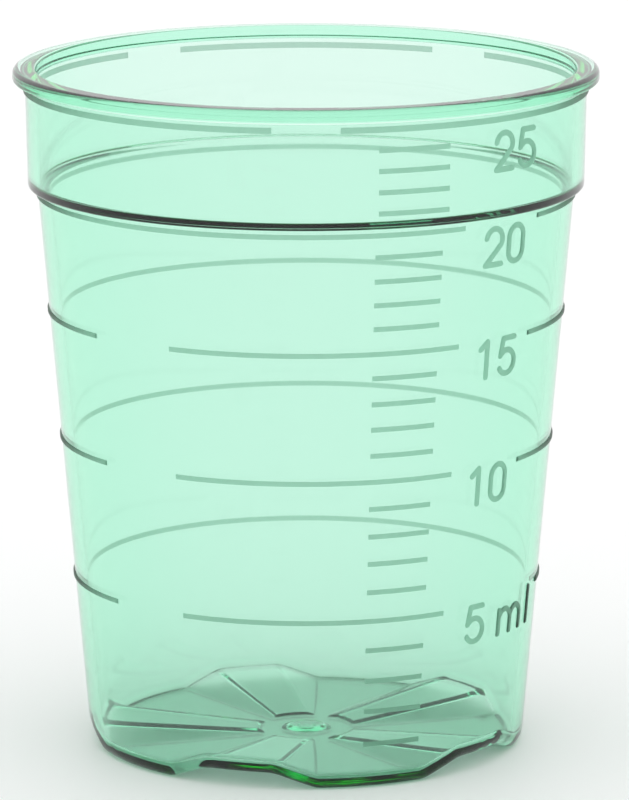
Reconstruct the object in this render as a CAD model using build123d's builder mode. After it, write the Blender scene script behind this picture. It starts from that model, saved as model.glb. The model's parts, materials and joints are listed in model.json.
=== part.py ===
from build123d import *
import math
import os

os.makedirs("parts", exist_ok=True)

# ---------------------------------------------------------------------------
# Medicine cup, 25 ml, moulded in one piece.
# Millimetres. Z is the cup's axis, and z = 0 is the plane that its five feet
# stand on. Azimuth runs from -Y (the front) towards +X.
# ---------------------------------------------------------------------------

# wall and floor
WALL = 0.69            # wall, measured square to the surface
FLOOR = 0.50           # floor, over the feet and over the channels
FOOT_R = 13.106        # outer radius of the tapered body, carried down to z = 0
SLOPE = 0.08694        # growth of that radius for each mm of height (4.97 degrees)
BASE_ROUND = 0.70      # rounding of the outer bottom edge
WELL_ROUND = 0.60      # rounding between the floor and the inside of the wall

# shoulder and upper band
LEDGE_Z = 34.02        # underside of the shoulder
LEDGE_R = 16.63        # outer radius of the band at its foot
STEP_LOW_Z = 34.07     # inside, the sloping step starts here on the body's wall
STEP_Z = 34.42         # and ends here on the band's wall
BAND_IN_R = 15.94      # inner radius of the band at its foot
BAND_TOP_R = 16.76     # outer radius of the band under the lip

# lip
LIP_R = 17.49          # largest radius of the cup
LIP_LOW_Z = 40.40      # underside of the lip
TOP_Z = 41.14          # flat top of the lip
LIP_IN_R = 16.09       # inner radius of the band at the top
LIP_ROUND = 0.40       # rounding of the lip's outer top edge
RIM_ROUND = 0.25       # rounding of its inner top edge

# five channels under the floor, between the feet
CHANNELS = 5
CHANNEL_AZ = -18.3     # azimuth of the channel nearest to the front
DISC_R = 2.90          # where the channels begin
CHANNEL_IN_HALF = 1.00     # half width of a channel's roof where it begins
CHANNEL_IN_H = 0.12        # its height there
CHANNEL_OUT_HALF = 2.15    # half width of the roof at the wall
CHANNEL_OUT_H = 0.94       # its height there
FLANK_IN = 0.45        # run of the sloping side where the channel begins
FLANK_OUT = 2.75       # and at the wall

# gate mark in the middle of the floor
GATE_R = 1.45
GATE_DEPTH = 0.22
GATE_NIB_R = 0.45

# raised graduation marks
RELIEF = 0.10          # height of a mark above the wall
BITE = 0.15            # how far a mark's body reaches into the wall
LINE_W = 0.28          # width of a line
TOP_LINE_W = 0.34      # width of the line at 25 ml
LEVELS = {             # height of the liquid for each millilitre
    1: 2.75, 2: 4.77, 3: 6.65, 4: 8.53, 5: 10.33,
    6: 12.10, 7: 13.83, 8: 15.50, 9: 17.18, 10: 18.82,
    11: 20.40, 12: 21.98, 13: 23.50, 14: 25.07, 15: 26.52,
    16: 28.01, 17: 29.43, 18: 30.84, 19: 32.28, 20: 33.58,
    21: 34.96, 22: 36.19, 23: 37.43, 24: 38.65, 25: 39.86,
}
TICK_AZ = (14.5, 29.6)         # the short lines
RING_GAP_L = (-52.8, -31.0)    # gap in the long lines, left of the front
RING_GAP_R = (35.0, 57.3)      # gap for the numeral
RING_GAP_R5 = (35.0, 78.0)     # the same, with room for the unit
TOP_ARCS = ((6.8, 138.1), (151.7, 208.1), (221.8, 353.2))   # 25 ml, in three arcs

# numerals
DIGIT_H = 2.47
DIGIT_W = 1.62
STROKE = 0.33
UNIT_H = 1.78
DIGIT_AZ = (43.3, 50.1)        # first and second digit
LABEL_TOP = {5: 10.48, 10: 19.03, 15: 26.70, 20: 33.46, 25: 39.20}

ANGLE = math.atan(SLOPE)


def body_r(z):
    return FOOT_R + SLOPE * z


def band_r(z):
    return LEDGE_R + (BAND_TOP_R - LEDGE_R) * (z - LEDGE_Z) / (LIP_LOW_Z - LEDGE_Z)


def inner_r(z):
    return body_r(z) - WALL / math.cos(ANGLE)


def outer_r(z):
    return band_r(z) if z > LEDGE_Z else body_r(z)


def radial_plane(azimuth):
    """Upright plane through the axis: x outwards at the azimuth, y up."""
    a = math.radians(azimuth)
    return Plane(
        origin=(0, 0, 0),
        x_dir=(math.sin(a), -math.cos(a), 0),
        z_dir=(-math.cos(a), -math.sin(a), 0),
    )


def facing_plane(azimuth, distance, z):
    """Plane that faces outwards at the azimuth, x to the right, y up."""
    a = math.radians(azimuth)
    return Plane(
        origin=(distance * math.sin(a), -distance * math.cos(a), z),
        x_dir=(math.cos(a), math.sin(a), 0),
        z_dir=(math.sin(a), -math.cos(a), 0),
    )


def nearest(vertices, x, y):
    return vertices.sort_by(lambda v: (v.X - x) ** 2 + (v.Y - y) ** 2)[0]


# ---------------------------------------------------------------------------
# shell: one turned section, drawn with sharp corners and then rounded
# ---------------------------------------------------------------------------
section = [
    (0, 0),
    (body_r(0), 0),
    (body_r(LEDGE_Z), LEDGE_Z),
    (LEDGE_R, LEDGE_Z),
    (BAND_TOP_R, LIP_LOW_Z),
    (LIP_R, LIP_LOW_Z),
    (LIP_R, TOP_Z),
    (LIP_IN_R, TOP_Z),
    (BAND_IN_R, STEP_Z),
    (inner_r(STEP_LOW_Z), STEP_LOW_Z),
    (inner_r(FLOOR), FLOOR),
    (0, FLOOR),
]
rounds = [
    ((body_r(LEDGE_Z), LEDGE_Z), 0.12),
    ((LEDGE_R, LEDGE_Z), 0.18),
    ((BAND_TOP_R, LIP_LOW_Z), 0.28),
    ((LIP_R, LIP_LOW_Z), 0.12),
    ((LIP_R, TOP_Z), LIP_ROUND),
    ((LIP_IN_R, TOP_Z), RIM_ROUND),
    ((BAND_IN_R, STEP_Z), 0.30),
    ((inner_r(STEP_LOW_Z), STEP_LOW_Z), 0.15),
    ((inner_r(FLOOR), FLOOR), WELL_ROUND),
]

with BuildPart() as shell:
    with BuildSketch(Plane.XZ) as shell_section:
        with BuildLine():
            Polyline(*section, close=True)
        make_face()
        for (cx, cy), radius in rounds:
            # the sketch is turned into the XZ plane, so its own y is the height
            fillet(nearest(shell_section.sketch_local.vertices(), cx, cy), radius)
    revolve(axis=Axis.Z)
print("shell", round(shell.part.volume, 2))


# ---------------------------------------------------------------------------
# one channel, as a tapering wedge that starts at the disc and runs out
# through the wall. The roof rises outwards and its sides slope down to the feet
# ---------------------------------------------------------------------------
def channel_section(half, height, flank, lift, floor_z):
    """Roof, sloping sides carried on below the feet, and a flat bottom."""
    slope = height / flank
    out = half + (height + 0.4) / slope
    return [
        (-half, height + lift),
        (half, height + lift),
        (out, -0.4 + lift),
        (out, floor_z),
        (-out, floor_z),
        (-out, -0.4 + lift),
    ]


END_R = 15.0
grow = (END_R - DISC_R) / (body_r(0) - DISC_R)
END_HALF = CHANNEL_IN_HALF + (CHANNEL_OUT_HALF - CHANNEL_IN_HALF) * grow
END_H = CHANNEL_IN_H + (CHANNEL_OUT_H - CHANNEL_IN_H) * grow
END_FLANK = FLANK_IN + (FLANK_OUT - FLANK_IN) * grow

# under the floor
with BuildPart() as channel_below:
    for distance, half, height, flank in (
        (DISC_R, CHANNEL_IN_HALF, CHANNEL_IN_H, FLANK_IN),
        (END_R, END_HALF, END_H, END_FLANK),
    ):
        with BuildSketch(facing_plane(CHANNEL_AZ, distance, 0)):
            with BuildLine():
                Polyline(*channel_section(half, height, flank, 0.0, -1.5), close=True)
            make_face()
    loft(ruled=True)

# the same form above the floor, as the ridge that keeps the floor's thickness
with BuildPart() as ridge_above:
    for distance, half, height, flank in (
        (DISC_R, CHANNEL_IN_HALF, CHANNEL_IN_H, FLANK_IN),
        (END_R, END_HALF, END_H, END_FLANK),
    ):
        with BuildSketch(facing_plane(CHANNEL_AZ, distance, 0)):
            with BuildLine():
                Polyline(*channel_section(half, height, flank, FLOOR, 0.05), close=True)
            make_face()
    loft(ruled=True)
    # kept inside the wall
    with BuildSketch(Plane.XZ):
        with BuildLine():
            Polyline(
                (0, 0.05),
                (body_r(0.05) - 0.3, 0.05),
                (body_r(3.0) - 0.3, 3.0),
                (0, 3.0),
                close=True,
            )
        make_face()
    revolve(axis=Axis.Z, mode=Mode.INTERSECT)

# ---------------------------------------------------------------------------
# the cup's plain form
# ---------------------------------------------------------------------------
with BuildPart() as cup:
    add(shell.part)
    for i in range(CHANNELS):
        add(ridge_above.part.rotate(Axis.Z, 360 / CHANNELS * i))
    for i in range(CHANNELS):
        add(channel_below.part.rotate(Axis.Z, 360 / CHANNELS * i), mode=Mode.SUBTRACT)
    # gate: a shallow round recess below with a nib in it, and a low dome above
    with BuildSketch(Plane.XZ):
        with BuildLine():
            Polyline(
                (0, -0.5),
                (GATE_R, -0.5),
                (GATE_R, 0.0),
                (GATE_R - 0.35, GATE_DEPTH),
                (GATE_NIB_R + 0.08, GATE_DEPTH),
                (GATE_NIB_R, 0.05),
                (0, 0.05),
                close=True,
            )
        make_face()
    revolve(axis=Axis.Z, mode=Mode.SUBTRACT)
    with BuildSketch(Plane.XZ):
        with BuildLine():
            Polyline(
                (0, FLOOR - 0.1),
                (GATE_R, FLOOR - 0.1),
                (GATE_R, FLOOR),
                (GATE_R - 0.45, FLOOR + 0.18),
                (0, FLOOR + 0.20),
                close=True,
            )
        make_face()
    revolve(axis=Axis.Z)
print("plain cup", round(cup.part.volume, 2), "solids", len(cup.part.solids()), "valid", cup.part.is_valid)

# ---------------------------------------------------------------------------
# rounding of the outer bottom edge, round the feet and over the arches
# ---------------------------------------------------------------------------
def on_bottom_rim(edge):
    for t in (0.1, 0.5, 0.9):
        p = edge.position_at(t)
        r = math.hypot(p.X, p.Y)
        if p.Z > 1.3 or abs(r - body_r(p.Z)) > 0.002:
            return False
    # the edges between the arches and the wall, not the ones that run up it
    a, b = edge.position_at(0), edge.position_at(1)
    return math.hypot(a.X - b.X, a.Y - b.Y) > 0.2


with cup:
    rim_edges = cup.edges().filter_by(on_bottom_rim)
    print("bottom rim edges", len(rim_edges))
    fillet(rim_edges, BASE_ROUND)
print("rounded", round(cup.part.volume, 2), "valid", cup.part.is_valid)


# ---------------------------------------------------------------------------
# graduation lines: low ribs of a tapered section, turned through their arc
# ---------------------------------------------------------------------------
def rib_section(z, width):
    """Rib across the wall at height z: foot inside the wall, narrower top."""
    slope = (BAND_TOP_R - LEDGE_R) / (LIP_LOW_Z - LEDGE_Z) if z > LEDGE_Z else SLOPE
    a = math.atan(slope)
    along = (math.sin(a), math.cos(a))
    out = (math.cos(a), -math.sin(a))
    r = outer_r(z)

    def at(s, n):
        return (r + along[0] * s + out[0] * n, z + along[1] * s + out[1] * n)

    half = width / 2
    return [
        at(-half, -BITE),
        at(half, -BITE),
        at(half, 0.3 * RELIEF),
        at(half - 0.05, RELIEF),
        at(-half + 0.05, RELIEF),
        at(-half, 0.3 * RELIEF),
    ]


def arc_spans(gaps):
    """Arcs left over between gaps, as (start, end), end past start."""
    gaps = sorted(gaps)
    spans = []
    for i, gap in enumerate(gaps):
        nxt = gaps[(i + 1) % len(gaps)]
        start, end = gap[1], nxt[0]
        spans.append((start, end if end > start else end + 360))
    return spans


lines = [(ml, TICK_AZ, LINE_W) for ml in LEVELS if ml % 5]
for ml, gaps in (
    (5, (RING_GAP_L, RING_GAP_R5)),
    (10, (RING_GAP_L, RING_GAP_R)),
    (15, (RING_GAP_L, RING_GAP_R)),
    (20, (RING_GAP_R,)),      # under the shoulder the line runs on at the left
):
    lines += [(ml, span, LINE_W) for span in arc_spans(gaps)]
lines += [(25, span, TOP_LINE_W) for span in TOP_ARCS]

line_parts = []
for azimuths in sorted({line[1] for line in lines}):
    with BuildPart() as line_group:
        with BuildSketch(radial_plane(azimuths[0])):
            for ml, span, width in lines:
                if span == azimuths:
                    with BuildLine():
                        Polyline(*rib_section(LEVELS[ml], width), close=True)
                    make_face()
        revolve(axis=Axis.Z, revolution_arc=azimuths[1] - azimuths[0])
    line_parts.append(line_group.part)
print("line groups", len(line_parts), [round(p.volume, 3) for p in line_parts])


# ---------------------------------------------------------------------------
# numerals: strokes with round ends, cut to the wall's own curve
# ---------------------------------------------------------------------------
def stroke_lines(sign):
    """Centre lines of a sign's strokes, about the middle of its foot."""
    w = (DIGIT_W - STROKE) / 2
    h = DIGIT_H - STROKE
    strokes = []
    if sign == "1":
        strokes.append(Wire([Line((-0.52, h - 0.42), (0.0, h)), Line((0.0, h), (0.0, 0.0))]))
    elif sign == "2":
        bowl = CenterArc((0, h - w), w, 170, -200)
        strokes.append(Wire([bowl, Line(bowl @ 1, (-w, 0.0)), Line((-w, 0.0), (w, 0.0))]))
    elif sign == "5":
        strokes.append(
            Wire([Line((w * 0.85, h), (-w * 0.72, h)), Line((-w * 0.72, h), (-w, h * 0.52))])
        )
        strokes.append(
            Wire(
                [
                    ThreePointArc((-w, h * 0.52), (0.0, h * 0.66), (w, h * 0.34)),
                    ThreePointArc((w, h * 0.34), (0.0, 0.0), (-w, h * 0.16)),
                ]
            )
        )
    elif sign == "m":
        x = 1.28
        m_h = UNIT_H - STROKE
        strokes.append(Wire([Line((-x, 0.0), (-x, m_h))]))
        for left in (-x, 0.0):
            mid = left + x / 2
            strokes.append(
                Wire(
                    [
                        ThreePointArc((left, m_h - 0.55), (mid, m_h), (left + x, m_h - 0.55)),
                        Line((left + x, m_h - 0.55), (left + x, 0.0)),
                    ]
                )
            )
    elif sign == "l":
        strokes.append(Wire([Line((0.0, 0.0), (0.0, DIGIT_H - STROKE))]))
    return strokes


def sign_solid(sign, azimuth, top, height):
    """One raised sign on the wall, its top edge at the height 'top'."""
    low = top - height
    mid_z = top - height / 2
    plane = facing_plane(azimuth, outer_r(mid_z) - 1.5, low)
    centres = stroke_lines(sign)
    with BuildPart() as raised:
        with BuildSketch(plane):
            if sign == "0":
                with Locations((0, height / 2)):
                    SlotOverall(DIGIT_H, DIGIT_W, rotation=90)
                    SlotOverall(
                        DIGIT_H - 2 * STROKE, DIGIT_W - 2 * STROKE, rotation=90, mode=Mode.SUBTRACT
                    )
            else:
                with Locations((0, STROKE / 2)):
                    for centre in centres:
                        SlotArc(centre, STROKE)
        extrude(amount=3.0)
        # between a skin inside the wall and one just outside it
        with BuildSketch(Plane.XZ):
            with BuildLine():
                Polyline(
                    (outer_r(low - 0.6) - BITE, low - 0.6),
                    (outer_r(low - 0.6) + RELIEF, low - 0.6),
                    (outer_r(top + 0.35) + RELIEF, top + 0.35),
                    (outer_r(top + 0.35) - BITE, top + 0.35),
                    close=True,
                )
            make_face()
        revolve(axis=Axis.Z, mode=Mode.INTERSECT)
    return raised.part


signs = [
    ("5", 45.7, LABEL_TOP[5], DIGIT_H),
    ("m", 60.3, LABEL_TOP[5] - DIGIT_H + UNIT_H, UNIT_H),
    ("l", 71.0, LABEL_TOP[5], DIGIT_H),
]
for ml in (10, 15, 20, 25):
    for digit, azimuth in zip(str(ml), DIGIT_AZ):
        signs.append((digit, azimuth, LABEL_TOP[ml], DIGIT_H))
sign_parts = [sign_solid(*sign) for sign in signs]
print("signs", len(sign_parts), [round(p.volume, 3) for p in sign_parts])

with cup:
    add(line_parts)
    add(sign_parts)

cup.part.label = "cup"
solids = cup.part.solids()
print("cup", round(cup.part.volume, 2), "solids", len(solids), "valid", cup.part.is_valid)
box = cup.part.bounding_box()
print("size", [round(v, 2) for v in (box.size.X, box.size.Y, box.size.Z)], "from z", round(box.min.Z, 3))
export_step(cup.part, "parts/cup.step")
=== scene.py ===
import json
import math

import bpy
import numpy as np
from mathutils import Matrix, Vector
from mathutils.geometry import delaunay_2d_cdt

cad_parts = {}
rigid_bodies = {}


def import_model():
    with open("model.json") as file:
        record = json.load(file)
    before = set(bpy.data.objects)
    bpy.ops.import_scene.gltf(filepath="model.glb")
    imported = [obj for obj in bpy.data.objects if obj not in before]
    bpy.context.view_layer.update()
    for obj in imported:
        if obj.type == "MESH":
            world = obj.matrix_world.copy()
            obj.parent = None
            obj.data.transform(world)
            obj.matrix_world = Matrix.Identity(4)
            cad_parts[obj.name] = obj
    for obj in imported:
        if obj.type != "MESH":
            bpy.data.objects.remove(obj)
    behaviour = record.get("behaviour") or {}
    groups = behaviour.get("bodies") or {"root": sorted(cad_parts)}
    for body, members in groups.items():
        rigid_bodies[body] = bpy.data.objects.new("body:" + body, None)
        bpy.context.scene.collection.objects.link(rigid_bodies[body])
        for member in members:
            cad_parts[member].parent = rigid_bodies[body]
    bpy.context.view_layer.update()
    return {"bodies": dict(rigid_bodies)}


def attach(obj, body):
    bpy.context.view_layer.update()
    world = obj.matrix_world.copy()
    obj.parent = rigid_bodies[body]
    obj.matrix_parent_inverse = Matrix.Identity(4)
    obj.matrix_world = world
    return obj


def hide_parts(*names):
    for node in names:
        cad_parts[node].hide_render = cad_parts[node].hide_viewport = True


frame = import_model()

# --- form of the cup, millimetres. Azimuth runs from -Y towards +X ----------
WALL, FLOOR = 0.69, 0.50
FOOT_R, SLOPE = 13.106, 0.08694
BASE_ROUND, WELL_ROUND = 0.70, 0.60
LEDGE_Z, LEDGE_R, STEP_LOW_Z, STEP_Z = 34.02, 16.63, 34.07, 34.42
BAND_IN_R, BAND_TOP_R = 15.94, 16.76
LIP_R, LIP_LOW_Z, TOP_Z, LIP_IN_R = 17.49, 40.40, 41.14, 16.09
LIP_ROUND, RIM_ROUND = 0.40, 0.25
CHANNELS, CHANNEL_AZ, DISC_R = 5, -18.3, 2.90
HALF_IN, HALF_OUT = 1.00, 2.15
RISE_IN, RISE_OUT = 0.12, 0.94
FLANK_IN, FLANK_OUT = 0.45, 2.75
GATE_R, GATE_DEPTH, GATE_NIB_R = 1.45, 0.22, 0.45
RELIEF, LINE_W, TOP_LINE_W = 0.10, 0.28, 0.34
LEVELS = {
    1: 2.75, 2: 4.77, 3: 6.65, 4: 8.53, 5: 10.33,
    6: 12.10, 7: 13.83, 8: 15.50, 9: 17.18, 10: 18.82,
    11: 20.40, 12: 21.98, 13: 23.50, 14: 25.07, 15: 26.52,
    16: 28.01, 17: 29.43, 18: 30.84, 19: 32.28, 20: 33.58,
    21: 34.96, 22: 36.19, 23: 37.43, 24: 38.65, 25: 39.86,
}
TICK_AZ = (14.5, 29.6)
RING_SPANS = ((-31.0, 35.0), (57.3, 307.2))
RING_SPANS_5 = ((-31.0, 35.0), (78.0, 307.2))
RING_SPANS_20 = ((57.3, 395.0),)
TOP_SPANS = ((6.8, 138.1), (151.7, 208.1), (221.8, 353.2))
DIGIT_H, DIGIT_W, STROKE, UNIT_H = 2.47, 1.62, 0.33, 1.78
DIGIT_AZ = (43.3, 50.1)
LABEL_TOP = {5: 10.48, 10: 19.03, 15: 26.70, 20: 33.46, 25: 39.20}
BEVEL, FOOT_OUT = 0.05, 0.012      # a mark's sloping edge, and how far its foot runs out

LEAN = math.atan(SLOPE)
BAND_SLOPE = (BAND_TOP_R - LEDGE_R) / (LIP_LOW_Z - LEDGE_Z)


def body_r(z):
    return FOOT_R + SLOPE * z


def band_r(z):
    return LEDGE_R + BAND_SLOPE * (z - LEDGE_Z)


def inner_r(z):
    return body_r(z) - WALL / math.cos(LEAN)


def ramp(d, w):
    """max(0, d) with its corner rounded over a width w."""
    w = np.maximum(w, 1e-9)
    return np.where(d <= -w / 2, 0.0, np.where(d >= w / 2, d, (d + w / 2) ** 2 / (2 * w)))


# --- floor: a height over (radius, azimuth) ----------------------------------
END_R = 15.0
GROW = (END_R - DISC_R) / (FOOT_R - DISC_R)
HALF_END = HALF_IN + (HALF_OUT - HALF_IN) * GROW
RISE_END = RISE_IN + (RISE_OUT - RISE_IN) * GROW
FLANK_END = FLANK_IN + (FLANK_OUT - FLANK_IN) * GROW
OUT_IN = HALF_IN + (RISE_IN + 0.4) * FLANK_IN / RISE_IN
OUT_END = HALF_END + (RISE_END + 0.4) * FLANK_END / RISE_END


def channel_at(x):
    """(half width of the roof, its height, slope of the side) at x along a channel."""
    t = (x - DISC_R) / (END_R - DISC_R)
    half = HALF_IN + (HALF_END - HALF_IN) * t
    rise = RISE_IN + (RISE_END - RISE_IN) * t
    out = OUT_IN + (OUT_END - OUT_IN) * t
    return half, rise, (rise + 0.4) / (out - half)


def crease_round(x):
    """Width over which a channel's creases are rounded."""
    return 0.22 + 0.10 * (x - DISC_R) / 10.2 + 0.95 * np.clip((x - 10.2) / 2.9, 0, 1) ** 2


def arch(x, y):
    """Height of one channel at x along it and y across it."""
    half, rise, slope = channel_at(x)
    y = np.abs(y)
    w = crease_round(x)
    foot = half + rise / slope
    return rise - slope * (ramp(y - half, w) - ramp(y - foot, w))


def sector(azimuth):
    """Angle from the nearest channel's middle, degrees."""
    return (azimuth - CHANNEL_AZ + 36.0) % 72.0 - 36.0


def smooth01(t):
    t = np.clip(t, 0, 1)
    return t * t * (3 - 2 * t)


def floor_form(r, azimuth):
    """Height that the channels give the floor."""
    a = np.radians(sector(azimuth))
    return arch(r * np.cos(a), r * np.sin(a)) * smooth01((r - 2.76) / 0.26)


def under(r, azimuth):
    """Underside of the floor."""
    w = 0.07
    gate = GATE_DEPTH - GATE_DEPTH / 0.35 * (ramp(r - (GATE_R - 0.35), w) - ramp(r - GATE_R, w))
    nib = (GATE_DEPTH - 0.05) / 0.08 * (ramp(GATE_NIB_R + 0.08 - r, 0.05) - ramp(GATE_NIB_R - r, 0.05))
    return floor_form(r, azimuth) + gate - nib


def over(r, azimuth):
    """Top of the floor, inside the cup."""
    w = 0.12
    dome = 0.18 - 0.18 / 0.45 * (ramp(r - 1.0, w) - ramp(r - GATE_R, w)) + 0.02 * (1 - np.clip(r, 0, 1) ** 2)
    return floor_form(r, azimuth) + FLOOR + dome


def height_normal(f, r, azimuth, up):
    """Normal of a height over (radius, azimuth), by its slopes."""
    e = 1e-4
    a = np.radians(azimuth)
    dr = (f(r + e, azimuth) - f(np.maximum(r - e, 0), azimuth)) / (e + np.minimum(r, e))
    rr = np.maximum(r, 1e-3)
    da = (f(r, azimuth + 0.01) - f(r, azimuth - 0.01)) / (2 * math.radians(0.01) * rr)
    er = np.stack([np.sin(a), -np.cos(a), 0 * a], -1)
    ea = np.stack([np.cos(a), np.sin(a), 0 * a], -1)
    n = -dr[..., None] * er - da[..., None] * ea
    n[..., 2] += 1.0
    n /= np.linalg.norm(n, axis=-1, keepdims=True)
    return n if up else -n


# --- columns: azimuths that follow the creases of the channels ---------------
def creases(r):
    """Angles of the two creases from the channel's middle at radius r."""
    a1 = a2 = 0.3
    for _ in range(40):
        half, rise, slope = channel_at(r * math.cos(a1))
        a1 = math.asin(min(0.98, half / r))
        half, rise, slope = channel_at(r * math.cos(a2))
        a2 = math.asin(min(0.98, (half + rise / slope) / r))
    return math.degrees(a1), math.degrees(a2)


def half_columns(r):
    """Angles from 0 to 36 in one half of a sector at radius r."""
    r = max(r, DISC_R)
    a1, a2 = creases(r)
    a1, a2 = min(a1, 34.0), min(a2, 35.0)
    w = math.degrees(float(crease_round(r)) / r) / 2
    w = min(w, a1 * 0.8, (a2 - a1) * 0.45, (36.0 - a2) * 0.8)
    knots = [
        (0.0, 5), (a1 - w, 6), (a1 + w, 7), (a2 - w, 6), (a2 + w, 12), (36.0, 0),
    ]
    out = []
    for (lo, n), (hi, _) in zip(knots, knots[1:]):
        out += [lo + (hi - lo) * k / n for k in range(n)]
    return out          # 36 values, 36.0 itself belongs to the other half


def columns(r):
    """All the columns' azimuths at radius r, rising, 360 of them."""
    h = half_columns(r)
    out = []
    for k in range(CHANNELS):
        mid = CHANNEL_AZ + 72.0 * k
        left = [mid - a for a in h[:0:-1]]
        out += [mid - 36.0] + left + [mid + a for a in h]
    return np.array(out)


# --- section: straight runs and arcs, with their exact normals ----------------
def rounded(points, radii, step=9.0):
    """Runs and arcs through points. Returns [(r, z, nr, nz)], normals to the right of travel."""
    out = []
    for i, (p, rad) in enumerate(zip(points, radii)):
        p = np.array(p, float)
        if rad is None:
            q = np.array(points[i + 1], float) if i == 0 else np.array(points[i - 1], float)
            d = (q - p) if i == 0 else (p - q)
            d /= np.linalg.norm(d)
            out.append((p[0], p[1], d[1], -d[0]))
            continue
        a = np.array(points[i - 1], float) - p
        b = np.array(points[i + 1], float) - p
        a /= np.linalg.norm(a)
        b /= np.linalg.norm(b)
        turn = math.acos(np.clip(a @ b, -1, 1))
        t = rad / math.tan(turn / 2)
        mid = (a + b) / np.linalg.norm(a + b)
        centre = p + mid * rad / math.sin(turn / 2)
        sweep = math.pi - turn
        n = max(3, int(math.ceil(math.degrees(sweep) / step)))
        start, end = p + a * t, p + b * t
        v0, v1 = start - centre, end - centre
        cross = (-a[0]) * b[1] - (-a[1]) * b[0]      # > 0: the path turns left
        for k in range(n + 1):
            s = k / n
            v = (math.sin((1 - s) * sweep) * v0 + math.sin(s * sweep) * v1) / math.sin(sweep)
            nrm = v / rad if cross > 0 else -v / rad
            out.append((centre[0] + v[0], centre[1] + v[1], nrm[0], nrm[1]))
    return out


def between(a, b, n):
    """n rows on a straight run between two section points, both ends left out."""
    return [
        (a[0] + (b[0] - a[0]) * k / (n + 1), a[1] + (b[1] - a[1]) * k / (n + 1), a[2], a[3])
        for k in range(1, n + 1)
    ]


# --- marks ---------------------------------------------------------------------
def arc_points(centre, radius, start, sweep, n=24):
    return [
        (centre[0] + radius * math.cos(math.radians(start + sweep * k / n)),
         centre[1] + radius * math.sin(math.radians(start + sweep * k / n)))
        for k in range(n + 1)
    ]


def three_point_arc(a, b, c, n=24):
    (ax, ay), (bx, by), (cx, cy) = a, b, c
    d = 2 * (ax * (by - cy) + bx * (cy - ay) + cx * (ay - by))
    ux = ((ax**2 + ay**2) * (by - cy) + (bx**2 + by**2) * (cy - ay) + (cx**2 + cy**2) * (ay - by)) / d
    uy = ((ax**2 + ay**2) * (cx - bx) + (bx**2 + by**2) * (ax - cx) + (cx**2 + cy**2) * (bx - ax)) / d
    r = math.hypot(ax - ux, ay - uy)
    t0, t1, t2 = (math.degrees(math.atan2(y - uy, x - ux)) for x, y in (a, b, c))
    ccw = (t2 - t0) % 360
    sweep = ccw if (t1 - t0) % 360 <= ccw else ccw - 360
    return arc_points((ux, uy), r, t0, sweep, n)


def stroke_lines(sign):
    """Centre lines of a sign's strokes, about the middle of its foot."""
    w, h = (DIGIT_W - STROKE) / 2, DIGIT_H - STROKE
    if sign == "1":
        return [[(-0.52, h - 0.42), (0, h), (0, 0)]]
    if sign == "2":
        bowl = arc_points((0, h - w), w, 170, -200)
        return [bowl + [(-w, 0), (w, 0)]]
    if sign == "5":
        return [
            [(w * 0.85, h), (-w * 0.72, h), (-w, h * 0.52)],
            three_point_arc((-w, h * 0.52), (0, h * 0.66), (w, h * 0.34))
            + three_point_arc((w, h * 0.34), (0, 0), (-w, h * 0.16))[1:],
        ]
    if sign == "0":
        s = arc_points((0, h - w), w, 0, 180) + arc_points((0, w), w, 180, 180)
        return [s + [s[0]]]
    if sign == "m":
        x, m_h = 1.28, UNIT_H - STROKE
        out = [[(-x, 0), (-x, m_h)]]
        for left in (-x, 0.0):
            arc = three_point_arc((left, m_h - 0.55), (left + x / 2, m_h), (left + x, m_h - 0.55))
            out.append(arc + [(left + x, 0)])
        return out
    return [[(0, 0), (0, DIGIT_H - STROKE)]]


class Line:
    """A straight mark: a rectangle in (azimuth, height)."""

    def __init__(self, a0, a1, z, width, seam):
        self.a0, self.a1, self.z, self.half = a0, a1, z, width / 2
        self.seam = seam

    def depth(self, az, z, r):
        """How far inside the mark's edge a point is, in mm; negative outside."""
        dz = self.half - np.abs(z - self.z)
        best = np.full(np.shape(az), -9.0)
        for turn in (-360.0, 0.0, 360.0):
            da = np.minimum(az + turn - self.a0, self.a1 - az - turn) * np.pi / 180 * r
            best = np.maximum(best, np.minimum(dz, da))
        return best


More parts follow.
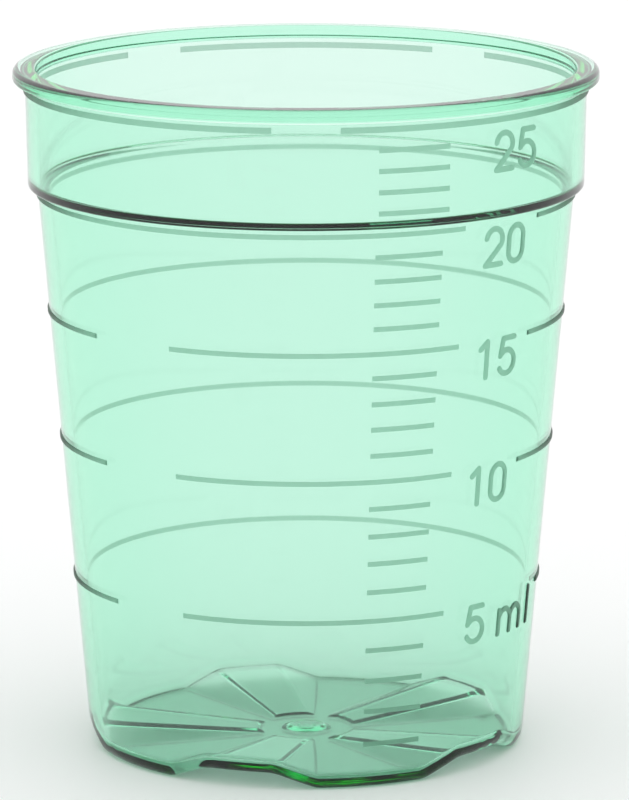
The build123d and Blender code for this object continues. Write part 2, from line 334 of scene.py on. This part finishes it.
class Sign:
    """A numeral or letter, made of round-ended strokes."""

    def __init__(self, sign, azimuth, top, height, radius):
        self.az, self.low, self.r = azimuth, top - height, radius
        segs = []
        for line in stroke_lines(sign):
            segs += list(zip(line, line[1:]))
        self.segs = np.array(segs, float)
        self.segs[:, :, 1] += STROKE / 2
        self.box = (
            self.segs[:, :, 0].min() - 0.3, self.segs[:, :, 0].max() + 0.3,
            self.segs[:, :, 1].min() - 0.3, self.segs[:, :, 1].max() + 0.3,
        )

    def local(self, x, y):
        p = np.stack([np.ravel(x), np.ravel(y)], -1)
        a, b = self.segs[:, 0], self.segs[:, 1]
        ab = b - a
        t = ((p[:, None] - a) * ab).sum(-1) / np.maximum((ab**2).sum(-1), 1e-12)
        near = a + np.clip(t, 0, 1)[..., None] * ab
        return (STROKE / 2 - np.linalg.norm(p[:, None] - near, axis=-1).min(1)).reshape(np.shape(x))

    def depth(self, az, z, r):
        az, z = np.atleast_1d(az), np.atleast_1d(z)
        x = ((az - self.az + 180.0) % 360.0 - 180.0) * np.pi / 180 * self.r
        y = z - self.low
        x0, x1, y0, y1 = self.box
        out = np.full(x.shape, -9.0)
        near = (x > x0) & (x < x1) & (y > y0) & (y < y1)
        if near.any():
            out[near] = self.local(x[near], y[near])
        return out

    def outline(self, level, gap=0.075, grid=0.035):
        """Closed lines where the depth equals level, as (x, y) arrays."""
        x0, x1, y0, y1 = self.box
        xs, ys = np.arange(x0, x1 + grid, grid), np.arange(y0, y1 + grid, grid)
        gx, gy = np.meshgrid(xs, ys, indexing="ij")
        f = self.local(gx, gy) - level
        f[f == 0] = 1e-9
        pts, links = {}, {}

        def cross(i, j, k, l):
            key = (i, j, k, l)
            if key not in pts:
                t = f[i, j] / (f[i, j] - f[k, l])
                pts[key] = (xs[i] + (xs[k] - xs[i]) * t, ys[j] + (ys[l] - ys[j]) * t)
                links[key] = []
            return key

        sign_f = f > 0
        for i in range(len(xs) - 1):
            for j in range(len(ys) - 1):
                c = (sign_f[i, j], sign_f[i + 1, j], sign_f[i + 1, j + 1], sign_f[i, j + 1])
                if all(c) or not any(c):
                    continue
                e = []
                if c[0] != c[1]:
                    e.append(cross(i, j, i + 1, j))
                if c[1] != c[2]:
                    e.append(cross(i + 1, j, i + 1, j + 1))
                if c[3] != c[2]:
                    e.append(cross(i, j + 1, i + 1, j + 1))
                if c[0] != c[3]:
                    e.append(cross(i, j, i, j + 1))
                pairs = [(e[0], e[1])] if len(e) == 2 else [(e[0], e[1]), (e[2], e[3])]
                for a, b in pairs:
                    links[a].append(b)
                    links[b].append(a)
        loops, seen = [], set()
        for first in sorted(pts):
            if first in seen:
                continue
            loop, key, last = [], first, None
            while key not in seen:
                seen.add(key)
                loop.append(pts[key])
                nxt = [k for k in links[key] if k != last and k not in seen]
                last = key
                if not nxt:
                    break
                key = nxt[0]
            loop = np.array(loop)
            if len(loop) < 8:
                continue
            ring = np.vstack([loop, loop[:1]])
            s = np.r_[0, np.cumsum(np.linalg.norm(np.diff(ring, axis=0), axis=1))]
            n = max(8, int(round(s[-1] / gap)))
            at = np.arange(n) * s[-1] / n
            q = np.stack([np.interp(at, s, ring[:, 0]), np.interp(at, s, ring[:, 1])], -1)
            for _ in range(3):      # onto the exact level
                e = 1e-4
                d = self.local(q[:, 0], q[:, 1]) - level
                g = np.stack([
                    self.local(q[:, 0] + e, q[:, 1]) - self.local(q[:, 0] - e, q[:, 1]),
                    self.local(q[:, 0], q[:, 1] + e) - self.local(q[:, 0], q[:, 1] - e),
                ], -1) / (2 * e)
                g2 = np.maximum((g**2).sum(-1), 0.25)
                q = q - (d / g2)[:, None] * g * 0.9
            loops.append(q)
        return loops


def mark_height(depth):
    return np.interp(depth, [-FOOT_OUT, 0.0, BEVEL], [0.0, 0.3 * RELIEF, RELIEF])


LEVEL_DEPTHS = (-FOOT_OUT, 0.0, BEVEL)


# --- putting the surface together ---------------------------------------------
class Surface:
    def __init__(self):
        self.points, self.count = [], 0
        self.faces, self.normals, self.frost = [], [], []

    def add(self, pts):
        pts = np.asarray(pts, float)
        ids = np.arange(self.count, self.count + len(pts.reshape(-1, 3))).reshape(pts.shape[:-1])
        self.points.append(pts.reshape(-1, 3))
        self.count += ids.size
        return ids

    def strip(self, ids, nrm):
        """Quads between rows; ids is rows x columns, nrm the normal at each."""
        n = ids.shape[1]
        for i in range(len(ids) - 1):
            for j in range(n):
                k = (j + 1) % n
                self.faces.append((ids[i, j], ids[i, k], ids[i + 1, k], ids[i + 1, j]))
                self.normals.append((nrm[i, j], nrm[i, k], nrm[i + 1, k], nrm[i + 1, j]))
                self.frost.append(0.0)

    def fan(self, centre, ring, n_centre, n_ring, outward):
        n = len(ring)
        for j in range(n):
            k = (j + 1) % n
            if outward:
                self.faces.append((centre, ring[k], ring[j]))
                self.normals.append((n_centre, n_ring[k], n_ring[j]))
            else:
                self.faces.append((centre, ring[j], ring[k]))
                self.normals.append((n_centre, n_ring[j], n_ring[k]))
            self.frost.append(0.0)


def polar(r, az, z):
    a = np.radians(az)
    return np.stack([r * np.sin(a), -r * np.cos(a), z + 0 * a], -1)


def turned(rows, az):
    """Points and normals of section rows turned round to each column."""
    rows = np.array(rows)
    r, z = rows[:, 0][:, None], rows[:, 1][:, None]
    nr, nz = rows[:, 2][:, None], rows[:, 3][:, None]
    a = np.radians(az)[None, :]
    pts = np.stack([r * np.sin(a), -r * np.cos(a), z + 0 * a], -1)
    nrm = np.stack([nr * np.sin(a), -nr * np.cos(a), nz + 0 * a], -1)
    return pts, nrm


def patch(surface, az, low_ids, low_z, top_ids, top_z, radius, slope, marks, rows):
    """Outer wall between two rings of points, with the outlines of the marks in it."""
    lean = math.atan(slope)
    start = az[0]
    n = len(az)
    pos, known, edges = [], {}, []

    def put(a, z, at=None):
        pos.append((a, z))
        if at is not None:
            known[len(pos) - 1] = at
        return len(pos) - 1

    low = [put(az[j], low_z[j], low_ids[j]) for j in range(n)]
    low.append(put(start + 360.0, low_z[0], low_ids[0]))
    top = [put(az[j], top_z, top_ids[j]) for j in range(n)]
    top.append(put(start + 360.0, top_z, top_ids[0]))
    for chain in (low, top):
        edges += list(zip(chain, chain[1:]))
    seam_z = set(z for z in rows if low_z[0] + 0.25 < z < top_z - 0.12)
    pieces = []
    for m in marks:
        if isinstance(m, Line):
            r = radius(m.z)
            for d in LEVEL_DEPTHS:
                da = math.degrees(d / r)
                a0, a1, hz = m.a0 + da, m.a1 - da, m.half - d
                while a0 < start:
                    a0, a1 = a0 + 360.0, a1 + 360.0
                while a0 >= start + 360.0:
                    a0, a1 = a0 - 360.0, a1 - 360.0
                if a1 > start + 360.0:
                    pieces.append((a0, start + 360.0, m.z, hz, False, True))
                    pieces.append((start, a1 - 360.0, m.z, hz, True, False))
                    seam_z |= {m.z - hz, m.z + hz}
                else:
                    pieces.append((a0, a1, m.z, hz, False, False))
    seam_z = sorted(seam_z)
    clean = []
    for z in seam_z:        # rows of the plain wall keep clear of the marks' edges
        if z in rows and any(abs(z - q) < 0.15 for q in seam_z if q not in rows):
            continue
        clean.append(z)
    seam_left, seam_right, shared = {}, {}, []
    for z in clean:
        seam_left[z] = put(start, z)
        seam_right[z] = put(start + 360.0, z)
        shared.append((seam_left[z], seam_right[z]))
    for side, first, last in ((seam_left, low[0], top[0]), (seam_right, low[-1], top[-1])):
        chain = [first] + [side[z] for z in clean] + [last]
        edges += list(zip(chain, chain[1:]))
    ring = np.r_[az, start + 360.0]
    for a0, a1, z, hz, at_left, at_right in pieces:
        inner = [a for a in ring if a0 + 0.12 < a < a1 - 0.12]
        upper, lower = [], []
        for zz, chain in ((z + hz, upper), (z - hz, lower)):
            chain.append(seam_left[zz] if at_left else put(a0, zz))
            chain += [put(a, zz) for a in inner]
            chain.append(seam_right[zz] if at_right else put(a1, zz))
            edges += list(zip(chain, chain[1:]))
        if not at_left:
            edges.append((lower[0], upper[0]))
        if not at_right:
            edges.append((lower[-1], upper[-1]))
    for m in marks:
        if isinstance(m, Sign):
            turn = m.az
            while turn < start:
                turn += 360.0
            for d in LEVEL_DEPTHS:
                for loop in m.outline(d):
                    ids = [put(turn + math.degrees(x / m.r), m.low + y) for x, y in loop]
                    edges += list(zip(ids, ids[1:] + ids[:1]))

    def depth(a, z):
        best = np.full(np.shape(a), -9.0)
        r = radius(z)
        for m in marks:
            best = np.maximum(best, m.depth(a, z, r))
        return best

    ga, gz = np.meshgrid(az[1:], np.array(sorted(rows)), indexing="ij")
    ga, gz = ga.ravel(), gz.ravel()
    floor_z = np.interp(ga, ring, np.r_[low_z, low_z[0]])
    keep = (gz > floor_z + 0.25) & (gz < top_z - 0.12) & (depth(ga, gz) < -0.11)
    for a, z in zip(ga[keep], gz[keep]):
        put(a, z)

    scale = 0.27
    coords = [Vector(((a - start) * scale, z)) for a, z in pos]
    out, _, tris, orig, _, _ = delaunay_2d_cdt(coords, edges, [], 0, 1e-7)
    oa = np.array([v.x for v in out]) / scale + start
    oz = np.array([v.y for v in out])
    d = depth(oa, oz)
    h = mark_height(d)
    ids = np.full(len(out), -1)
    same = {b: a for a, b in shared}
    where = {}
    for i, src in enumerate(orig):
        for s in src:
            where[s] = i
    for i, src in enumerate(orig):
        for s in src:
            if s in known:
                ids[i] = known[s]
                h[i] = 0.0
    new = [i for i in range(len(out)) if ids[i] < 0 and not any(s in same for s in orig[i])]
    r = radius(oz) + h * math.cos(lean)
    z3 = oz - h * math.sin(lean)
    made = surface.add(polar(r[new], oa[new], z3[new]))
    ids[new] = made
    for i, src in enumerate(orig):
        for s in src:
            if s in same:
                ids[i] = ids[where[same[s]]]
    assert (ids >= 0).all()
    a = np.radians(oa)
    wall_n = np.stack([math.cos(lean) * np.sin(a), -math.cos(lean) * np.cos(a), np.full(len(a), -math.sin(lean))], -1)
    floor_line = np.r_[low_z, low_z[0]]
    side = []
    tri = np.array([t for t in tris if len(t) == 3])
    assert len(tri) == len(tris)
    ca, cz = oa[tri].mean(1), oz[tri].mean(1)
    inside = cz > np.interp(ca, ring, floor_line)
    tri, ca, cz = tri[inside], ca[inside], cz[inside]
    dc = depth(ca, cz)
    ht = h[tri]
    raised = dc > -FOOT_OUT + 1e-5
    flat_top = raised & (ht.min(1) > RELIEF - 1e-4)
    for t, up, flat in zip(tri, raised, flat_top):
        f = tuple(int(ids[k]) for k in t)
        if len(set(f)) < 3:
            continue
        surface.faces.append(f)
        surface.frost.append(1.0 if up else 0.0)
        surface.normals.append(tuple(wall_n[k] for k in t))
    return side


def build():
    s = Surface()
    base_az = columns(FOOT_R)
    shift = int(np.argmin(np.abs(base_az - 145.0)))

    def cols(r):
        c = np.roll(columns(r), -shift)
        return np.where(c < c[0], c + 360.0, c)

    az = cols(FOOT_R)
    n = len(az)

    # underside of the floor, from the middle outwards
    gate_rows = [0.16, 0.30, 0.40, 0.45, 0.49, 0.53, 0.58, 0.75, 0.95, 1.06, 1.10, 1.14, 1.25, 1.38, 1.45, 1.52]
    floor_rows = [1.8, 2.2, 2.6, 2.76, 2.82, 2.88, 2.94, 3.02, 3.15, 3.5, 4.0, 4.6, 5.3, 6.0, 6.8, 7.6, 8.4, 9.2, 9.9, 10.5, 11.0, 11.4, 11.75]
    centre = s.add(np.array([0.0, 0.0, under(np.array(0.0), np.array(0.0))]))
    pts, nrm = [], []
    for r in gate_rows + floor_rows:
        a = cols(r)
        rr = np.full(n, r)
        pts.append(polar(rr, a, under(rr, a)))
        nrm.append(height_normal(under, rr, a, False))

    def edge_arc(f, wall_r, t_len, inside, steps):
        """Rounding between the floor f and the wall, in each column's own plane."""
        r_c = np.full(n, wall_r(1.0))
        for _ in range(30):
            r_c = wall_r(f(r_c, az))
        r_s = r_c - t_len
        z_s = f(r_s, az)
        m = (f(r_s + 1e-3, az) - f(r_s - 1e-3, az)) / 2e-3
        r_x = (wall_r(0.0) + SLOPE * (z_s - m * r_s)) / (1 - SLOPE * m)
        z_x = z_s + m * (r_x - r_s)
        t = np.hypot(r_x - r_s, z_x - z_s)
        up = np.array([math.sin(LEAN), math.cos(LEAN)])
        p0 = np.stack([r_s, z_s], -1)
        px = np.stack([r_x, z_x], -1)
        p1 = px + t[:, None] * up
        a = (p0 - px) / t[:, None]
        turn = np.arccos(np.clip(a @ up, -1, 1))
        rad = t * np.tan(turn / 2)
        mid = a + up
        mid /= np.linalg.norm(mid, axis=1, keepdims=True)
        c = px + mid * (rad / np.sin(turn / 2))[:, None]
        sweep = np.pi - turn
        rows_p, rows_t = [], []
        for k in range(steps + 1):
            q = k / steps
            v = (np.sin((1 - q) * sweep)[:, None] * (p0 - c) + np.sin(q * sweep)[:, None] * (p1 - c)) / np.sin(sweep)[:, None]
            rows_p.append(c + v)
            nn = v / rad[:, None]
            rows_t.append(np.stack([-nn[:, 1], nn[:, 0]], -1))      # towards the wall
        return rows_p, rows_t, rad

    def arc_rows(rows_p, rows_t):
        """3-D points and normals; the normal also follows the height round the cup."""
        out_p, out_n = [], []
        for p, t in zip(rows_p, rows_t):
            q = polar(p[:, 0], az, p[:, 1])
            around = np.roll(q, -1, 0) - np.roll(q, 1, 0)
            a = np.radians(az)
            up = np.stack([t[:, 0] * np.sin(a), -t[:, 0] * np.cos(a), t[:, 1]], -1)
            m = np.cross(around, up)
            out_p.append(q)
            out_n.append(m / np.linalg.norm(m, axis=1, keepdims=True))
        return out_p, out_n

    rows_p, rows_t, rad = edge_arc(under, body_r, 0.645, False, 8)
    arc_p, arc_n = arc_rows(rows_p, rows_t)
    arc_n[-1] = turned([(0, 0, math.cos(LEAN), -math.sin(LEAN))], az)[1][0]
    r_mid = (rows_p[0][:, 0] + 11.75) / 2
    pts += [polar(r_mid, az, under(r_mid, az))] + arc_p
    nrm += [height_normal(under, r_mid, az, False)]
    arc_n[0] = height_normal(under, rows_p[0][:, 0], az, False)
    nrm += arc_n
    pts, nrm = np.array(pts), np.array(nrm)
    ids = s.add(pts)
    down = np.array([0, 0, -1.0])
    s.strip(ids, nrm)
    s.fan(int(centre), ids[0], down, nrm[0], True)
    wall_low, wall_low_z = ids[-1], rows_p[-1][:, 1]

    # shoulder, lip, inside
    ledge = rounded(
        [(body_r(33.0), 33.0), (body_r(LEDGE_Z), LEDGE_Z), (LEDGE_R, LEDGE_Z), (band_r(36.0), 36.0)],
        [None, 0.12, 0.18, None], step=14.0)[1:-1]
    ledge_pts, ledge_nrm = turned(ledge, az)
    ledge_ids = s.add(ledge_pts)
    s.strip(ledge_ids, ledge_nrm)
    lip = rounded(
        [(band_r(39.0), 39.0), (BAND_TOP_R, LIP_LOW_Z), (LIP_R, LIP_LOW_Z), (LIP_R, TOP_Z),
         (LIP_IN_R, TOP_Z), (BAND_IN_R, STEP_Z), (inner_r(STEP_LOW_Z), STEP_LOW_Z),
         (inner_r(3.0), 3.0)],
        [None, 0.28, 0.12, LIP_ROUND, RIM_ROUND, 0.30, 0.15, None], step=9.0)[1:-1]
    # rows on the two long straight runs inside
    long_runs = []
    for p, q in zip(lip, lip[1:]):
        long_runs.append(p)
        if math.hypot(p[0] - q[0], p[1] - q[1]) > 3.0:
            long_runs += between(p, q, 3)
    long_runs.append(lip[-1])
    rows_p, rows_t, rad_in = edge_arc(over, inner_r, 0.55, True, 8)
    rows_p, rows_t = rows_p[::-1], rows_t[::-1]
    arc_p, arc_n = arc_rows(rows_p, rows_t)
    arc_n = [-m for m in arc_n]
    arc_n[0] = turned([(0, 0, -math.cos(LEAN), math.sin(LEAN))], az)[1][0]
    arc_n[-1] = height_normal(over, rows_p[-1][:, 0], az, True)
    last = long_runs[-1]
    low_end = (inner_r(2.6), 2.6, last[2], last[3])
    long_runs += between(last, low_end, 11) + [low_end]
    up_pts, up_nrm = turned(long_runs, az)
    in_pts = list(up_pts) + list(arc_p)
    in_nrm = list(up_nrm) + list(arc_n)
    r_mid = (rows_p[-1][:, 0] + 11.4) / 2
    in_pts.append(polar(r_mid, az, over(r_mid, az)))
    in_nrm.append(height_normal(over, r_mid, az, True))
    for r in [q for q in (floor_rows[::-1] + gate_rows_top()[::-1]) if q < 11.45]:
        a = cols(r)
        rr = np.full(n, r)
        in_pts.append(polar(rr, a, over(rr, a)))
        in_nrm.append(height_normal(over, rr, a, True))
    in_pts, in_nrm = np.array(in_pts), np.array(in_nrm)
    in_ids = s.add(in_pts)
    s.strip(in_ids, in_nrm)
    middle = s.add(np.array([0.0, 0.0, over(np.array(0.0), np.array(0.0))]))
    s.fan(int(middle), in_ids[-1], np.array([0, 0, 1.0]), in_nrm[-1], False)

    # marks
    body_marks, band_marks = [], []
    for ml in LEVELS:
        if ml % 5:
            (body_marks if ml <= 20 else band_marks).append(Line(*TICK_AZ, LEVELS[ml], LINE_W, None))
    for ml in (5, 10, 15, 20):
        for a0, a1 in {5: RING_SPANS_5, 20: RING_SPANS_20}.get(ml, RING_SPANS):
            body_marks.append(Line(a0, a1, LEVELS[ml], LINE_W, None))
    for a0, a1 in TOP_SPANS:
        band_marks.append(Line(a0, a1, LEVELS[25], TOP_LINE_W, None))
    signs = [("5", 45.7, LABEL_TOP[5], DIGIT_H),
             ("m", 60.3, LABEL_TOP[5] - DIGIT_H + UNIT_H, UNIT_H),
             ("l", 71.0, LABEL_TOP[5], DIGIT_H)]
    for ml in (10, 15, 20, 25):
        for digit, a in zip(str(ml), DIGIT_AZ):
            signs.append((digit, a, LABEL_TOP[ml], DIGIT_H))
    for sign, a, top, height in signs:
        mid = top - height / 2
        if mid > LEDGE_Z:
            band_marks.append(Sign(sign, a, top, height, band_r(mid)))
        else:
            body_marks.append(Sign(sign, a, top, height, body_r(mid)))

    rows = [round(2.2 + 1.55 * k, 3) for k in range(21)]
    side = patch(s, az, wall_low, wall_low_z, ledge_ids[0], ledge[0][1], body_r, SLOPE, body_marks, rows)
    rows = [35.6, 36.9, 38.1, 39.25]
    side += patch(s, az, ledge_ids[-1], np.full(n, ledge[-1][1]), in_ids[0], long_runs[0][1], band_r, BAND_SLOPE, band_marks, rows)

    points = np.vstack(s.points)
    # smooth normals for any side faces that patch hands back; it hands back none, so the marks' sloping edges keep
    # the wall's normals
    acc = {}
    for f in side:
        a, b, c = (points[i] for i in s.faces[f])
        m = np.cross(b - a, c - a)
        for i in s.faces[f]:
            acc[i] = acc.get(i, 0) + m
    for f in side:
        s.normals[f] = tuple(acc[i] / max(np.linalg.norm(acc[i]), 1e-12) for i in s.faces[f])
    return points, s.faces, s.normals, s.frost


def gate_rows_top():
    return [0.25, 0.55, 0.90, 0.96, 1.02, 1.08, 1.2, 1.36, 1.42, 1.48, 1.55]


# ---------------------------------------------------------------------------
# the piece
# ---------------------------------------------------------------------------
def make_cup():
    points, faces, normals, frost = build()
    mesh = bpy.data.meshes.new("cup_body")
    mesh.from_pydata((points * 0.001).tolist(), [], [tuple(int(i) for i in f) for f in faces])
    mesh.polygons.foreach_set("use_smooth", [True] * len(mesh.polygons))
    attribute = mesh.attributes.new("frost", "FLOAT", "FACE")
    attribute.data.foreach_set("value", np.array(frost, np.float32))
    corner = [tuple(float(x) for x in n) for face in normals for n in face]
    mesh.normals_split_custom_set(corner)
    mesh.update()
    obj = bpy.data.objects.new("cup_body", mesh)
    bpy.context.scene.collection.objects.link(obj)
    return obj


def node(tree, kind, **values):
    made = tree.nodes.new(kind)
    for key, value in values.items():
        if hasattr(made, key):
            setattr(made, key, value)
        else:
            made.inputs[key.replace("_", " ")].default_value = value
    return made


def plastic():
    """Clear green plastic: it takes its colour from the depth of wall that light crosses."""
    mat = bpy.data.materials.new("cup_plastic")
    mat.use_nodes = True
    nt = mat.node_tree
    nt.nodes.clear()
    out = nt.nodes.new("ShaderNodeOutputMaterial")
    shader = nt.nodes.new("ShaderNodeBsdfPrincipled")
    shader.inputs["Transmission Weight"].default_value = 1.0
    shader.inputs["IOR"].default_value = 1.49
    nt.links.new(shader.outputs[0], out.inputs["Surface"])
    volume = nt.nodes.new("ShaderNodeVolumeAbsorption")
    volume.inputs["Color"].default_value = (0.02, 0.97, 0.585, 1.0)
    volume.inputs["Density"].default_value = 400.0
    nt.links.new(volume.outputs[0], out.inputs["Volume"])

    mask = nt.nodes.new("ShaderNodeAttribute")
    mask.attribute_name = "frost"
    coords = nt.nodes.new("ShaderNodeTexCoord")

    # polish of the mould: nearly clear, with a faint unevenness
    cloud = node(nt, "ShaderNodeTexNoise", Scale=220.0, Detail=3.0, Roughness=0.55)
    nt.links.new(coords.outputs["Object"], cloud.inputs["Vector"])
    clear_rough = node(nt, "ShaderNodeMapRange")
    clear_rough.inputs["From Min"].default_value = 0.3
    clear_rough.inputs["From Max"].default_value = 0.7
    clear_rough.inputs["To Min"].default_value = 0.015
    clear_rough.inputs["To Max"].default_value = 0.045
    nt.links.new(cloud.outputs["Fac"], clear_rough.inputs["Value"])
    # the marks are etched: fine grain
    grain = node(nt, "ShaderNodeTexNoise", Scale=5200.0, Detail=2.0, Roughness=0.6)
    nt.links.new(coords.outputs["Object"], grain.inputs["Vector"])
    mark_rough = node(nt, "ShaderNodeMapRange")
    mark_rough.inputs["From Min"].default_value = 0.3
    mark_rough.inputs["From Max"].default_value = 0.7
    mark_rough.inputs["To Min"].default_value = 0.42
    mark_rough.inputs["To Max"].default_value = 0.52
    nt.links.new(grain.outputs["Fac"], mark_rough.inputs["Value"])
    rough = node(nt, "ShaderNodeMix", data_type="FLOAT")
    nt.links.new(mask.outputs["Fac"], rough.inputs["Factor"])
    nt.links.new(clear_rough.outputs["Result"], rough.inputs["A"])
    nt.links.new(mark_rough.outputs["Result"], rough.inputs["B"])
    nt.links.new(rough.outputs["Result"], shader.inputs["Roughness"])
    tone = node(nt, "ShaderNodeMix", data_type="RGBA")
    tone.inputs["A"].default_value = (0.965, 0.955, 0.957, 1.0)
    tone.inputs["B"].default_value = (0.36, 0.47, 0.41, 1.0)
    nt.links.new(mask.outputs["Fac"], tone.inputs["Factor"])
    nt.links.new(tone.outputs["Result"], shader.inputs["Base Color"])
    return mat


cup = make_cup()
cup.data.materials.append(plastic())
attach(cup, "root" if "root" in frame["bodies"] else sorted(frame["bodies"])[0])
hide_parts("cup")


# ---------------------------------------------------------------------------
# floor, light and camera
# ---------------------------------------------------------------------------
def make_floor():
    mesh = bpy.data.meshes.new("floor")
    size, z = 3.0, -0.00002
    mesh.from_pydata(
        [(-size, -size, z), (size, -size, z), (size, size, z), (-size, size, z)], [], [(0, 1, 2, 3)])
    obj = bpy.data.objects.new("floor", mesh)
    bpy.context.scene.collection.objects.link(obj)
    mat = bpy.data.materials.new("floor_white")
    mat.use_nodes = True
    shader = mat.node_tree.nodes["Principled BSDF"]
    shader.inputs["Base Color"].default_value = (0.97, 0.97, 0.97, 1.0)
    shader.inputs["Roughness"].default_value = 0.6
    mesh.materials.append(mat)
    return obj


floor = make_floor()

world = bpy.data.worlds.new("studio")
bpy.context.scene.world = world
world.use_nodes = True
world.node_tree.nodes["Background"].inputs["Color"].default_value = (1.0, 1.0, 1.0, 1.0)
world.node_tree.nodes["Background"].inputs["Strength"].default_value = 1.07

scene = bpy.context.scene
scene.view_settings.view_transform = "Standard"
# light trapped in the wall for longer than this is dropped: a choice of look, which darkens the edges
scene.cycles.max_bounces = 12
scene.cycles.transmission_bounces = 12
scene.cycles.glossy_bounces = 4


def make_camera():
    data = bpy.data.cameras.new("camera")
    data.sensor_width = 36.0
    data.sensor_fit = "AUTO"
    data.lens = 272.714
    data.clip_start, data.clip_end = 0.01, 20.0
    cam = bpy.data.objects.new("camera", data)
    bpy.context.scene.collection.objects.link(cam)
    pitch, yaw, roll = math.radians(11.8344), math.radians(0.0798), math.radians(-0.0256)
    ahead = Vector((math.sin(yaw) * math.cos(pitch), math.cos(yaw) * math.cos(pitch), -math.sin(pitch)))
    right = ahead.cross(Vector((0, 0, 1))).normalized()
    up = right.cross(ahead)
    right, up = (right * math.cos(roll) + up * math.sin(roll), up * math.cos(roll) - right * math.sin(roll))
    turn = Matrix((right, up, -ahead)).transposed()
    cam.matrix_world = Matrix.Translation((0.0, -0.35741, 0.09562)) @ turn.to_4x4()
    bpy.context.scene.camera = cam
    return cam


camera = make_camera()
